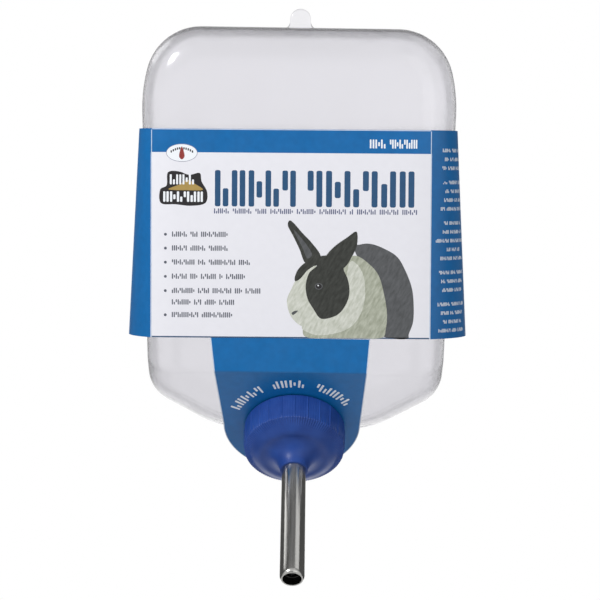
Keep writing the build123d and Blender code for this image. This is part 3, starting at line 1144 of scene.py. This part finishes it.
def panel_edges():
    """Pale worn folds, a painted highlight along the top edge and a dark line of painted shade
    along the lower edge, all round the front panel.
    """
    width, corner = 0.4, 0.1
    half = CARD_HALF / MM
    height = CARD_HEIGHT / MM
    for name, side in (("fold_line_left", -1), ("fold_line_right", 1)):
        line = bar(side * (half - 0.25) - width / 2, 0.3, width, height - 0.6, corner)
        ink_piece(name, [line], front_place, CARD_WORN_AND_HIGHLIGHT)
    left, across = 0.5 - half, 2 * (half - 0.5)
    # painted highlight: pale line along the top edge
    ink_piece("top_edge_highlight", [bar(left, -0.3, across, width, corner)], front_place, CARD_WORN_AND_HIGHLIGHT)
    # painted shade: dark line along the front panel's lower edge
    lower = bar(left, height - 0.75, across, 0.7, corner)
    ink_piece("bottom_edge_painted_shade", [lower], front_place, EDGE_PAINTED_SHADE)


def tongue_edges():
    """Pale cut edge of the card down both sides of the tongue and round its corners."""
    width = 0.45
    spacing = 0.3 * MM
    outline = [(TONGUE_TOP_WIDTH / 2, spacing), (TONGUE_CREASE_WIDTH / 2, CREASE_DROP)]
    outline += round_end(math.radians(55), 16)
    for name, side in (("tongue_edge_left", -1), ("tongue_edge_right", 1)):
        strips = []
        for (x0, v0), (x1, v1) in zip(outline, outline[1:]):
            parts = max(1, int((v1 - v0) / spacing))
            for part in range(parts):
                low, high = part / parts, (part + 1) / parts
                xa, va = lerp(x0, x1, low) / MM, lerp(v0, v1, low) / MM
                xb, vb = lerp(x0, x1, high) / MM, lerp(v0, v1, high) / MM
                strip = [(xa, va), (xb, vb), (xb - width, vb), (xa - width, va)]
                strips.append([(side * x, v) for x, v in strip])
        ink_piece(name, strips, tongue_ink_place, CARD_WORN_AND_HIGHLIGHT)


print_front()
print_badge()
print_oval()
print_rabbit()
print_sides()
print_back()
print_tongue()
panel_edges()
tongue_edges()


# ---- camera, light and floor ----
CAMERA_SENSOR = 36
CAMERA_LENS = 136.6
CAMERA_PLACE = Vector((1.9 * MM, -1218 * MM, -80 * MM))
CAMERA_AIM = Vector((1.9 * MM, 0, -149.5 * MM))
CAMERA_ROLL = math.radians(0.86)
LIGHT_AIM = Vector((0, 0, -0.16))
FLOOR_HEIGHT = -1.2
FLOOR_RADIUS = 0.5
FLOOR_SIDES = 96


def make_camera():
    """Camera in front of the bottle, a little above its middle, looking slightly down."""
    data = bpy.data.cameras.new("camera")
    camera = bpy.data.objects.new("camera", data)
    bpy.context.scene.collection.objects.link(camera)
    data.sensor_width = CAMERA_SENSOR
    data.lens = CAMERA_LENS
    camera.location = CAMERA_PLACE
    camera.rotation_euler = (CAMERA_AIM - CAMERA_PLACE).to_track_quat("-Z", "Y").to_euler()
    camera.rotation_euler.rotate_axis("Z", CAMERA_ROLL)
    bpy.context.scene.camera = camera


def area_light(name, place, size, power):
    """Square softbox aimed at the middle of the bottle."""
    data = bpy.data.lights.new(name, "AREA")
    data.shape = "SQUARE"
    data.size = size
    data.energy = power
    lamp = bpy.data.objects.new(name, data)
    lamp.location = place
    lamp.rotation_euler = (LIGHT_AIM - lamp.location).to_track_quat("-Z", "Y").to_euler()
    bpy.context.scene.collection.objects.link(lamp)


def sky_step(tree, value, start, end, low, high):
    """Smooth change of brightness between two directions."""
    node = tree.nodes.new("ShaderNodeMapRange")
    node.interpolation_type = "SMOOTHSTEP"
    node.inputs["From Min"].default_value = start
    node.inputs["From Max"].default_value = end
    node.inputs["To Min"].default_value = low
    node.inputs["To Max"].default_value = high
    tree.links.new(value, node.inputs["Value"])
    return node.outputs["Result"]


def combined(tree, operation, first, second):
    node = tree.nodes.new("ShaderNodeMath")
    node.operation = operation
    tree.links.new(first, node.inputs[0])
    tree.links.new(second, node.inputs[1])
    return node.outputs["Value"]


def studio_world():
    """White seen directly and through the clear plastic; a soft tent with dark gaps otherwise."""
    world = bpy.data.worlds.new("studio")
    world.use_nodes = True
    tree = world.node_tree
    seen = tree.nodes["Background"]
    seen.inputs["Color"].default_value = (1, 1, 1, 1)
    around = tree.nodes.new("ShaderNodeBackground")
    around.inputs["Color"].default_value = (1, 1, 1, 1)
    coordinates = tree.nodes.new("ShaderNodeTexCoord")
    split = tree.nodes.new("ShaderNodeSeparateXYZ")
    tree.links.new(coordinates.outputs["Generated"], split.inputs["Vector"])
    along, height = split.outputs["Y"], split.outputs["Z"]

    # what lights the bottle: a tent in front with a dark gap round the camera, a bright
    # backdrop, less from below, and a sweep behind and below
    tent = sky_step(tree, along, -0.4, 0.05, 0.73, 0.1)
    gap = sky_step(tree, along, -0.96, -0.82, -0.48, 0.0)
    backdrop = sky_step(tree, along, 0.93, 0.975, 0.0, 0.9)
    under = sky_step(tree, height, -0.85, -0.1, 0.76, 1.0)
    sweep = sky_step(tree, combined(tree, "SUBTRACT", along, height), 1.06, 1.28, 0.0, 1.35)
    total = combined(tree, "ADD", combined(tree, "MULTIPLY", tent, under), gap)
    total = combined(tree, "ADD", combined(tree, "ADD", total, backdrop), sweep)

    # diffuse rays alone get more from behind, so that the back isn't dark
    behind = sky_step(tree, along, 0.0, 0.6, 0.0, 0.6)
    path = tree.nodes.new("ShaderNodeLightPath").outputs
    total = combined(tree, "ADD", total, combined(tree, "MULTIPLY", behind, path["Is Diffuse Ray"]))
    tree.links.new(total, around.inputs["Strength"])

    # what is seen: white, and through the plastic a dark ceiling and a slightly darker ground
    lower = sky_step(tree, height, -0.1, 0.05, 0.93, 1.0)
    through = combined(tree, "MULTIPLY", lower, sky_step(tree, height, 0.3, 0.65, 1.0, 0.1))
    shown = combined(tree, "MAXIMUM", through, path["Is Camera Ray"])
    tree.links.new(shown, seen.inputs["Strength"])

    straight = combined(tree, "MAXIMUM", path["Is Camera Ray"], path["Is Transmission Ray"])
    mix = tree.nodes.new("ShaderNodeMixShader")
    tree.links.new(straight, mix.inputs["Fac"])
    tree.links.new(around.outputs["Background"], mix.inputs[1])
    tree.links.new(seen.outputs["Background"], mix.inputs[2])
    tree.links.new(mix.outputs["Shader"], tree.nodes["World Output"].inputs["Surface"])
    bpy.context.scene.world = world


def make_floor():
    """Pale round floor, far below the hanging bottle."""
    outline = oval(0, 0, FLOOR_RADIUS, FLOOR_RADIUS, FLOOR_SIDES)
    mesh = bpy.data.meshes.new("floor")
    mesh.from_pydata([(x, y, FLOOR_HEIGHT) for x, y in outline], [], [tuple(range(FLOOR_SIDES))])
    floor = bpy.data.objects.new("floor", mesh)
    bpy.context.scene.collection.objects.link(floor)
    material, tree, shader = new_material("floor_pale")
    shader.inputs["Base Color"].default_value = (0.88, 0.88, 0.88, 1)
    shader.inputs["Roughness"].default_value = 0.8
    mesh.materials.append(material)


make_camera()
area_light("key", (-0.7, -0.68, 0.5), 0.24, 7.2)
area_light("fill", (0.5, -1.1, 0.2), 0.8, 1.2)
area_light("over_left", (-0.75, 0.45, 0.5), 0.5, 1.05)
area_light("over_right", (0.61, 0.19, 0.72), 0.62, 0.95)
studio_world()
make_floor()
bpy.context.scene.view_settings.view_transform = "Standard"
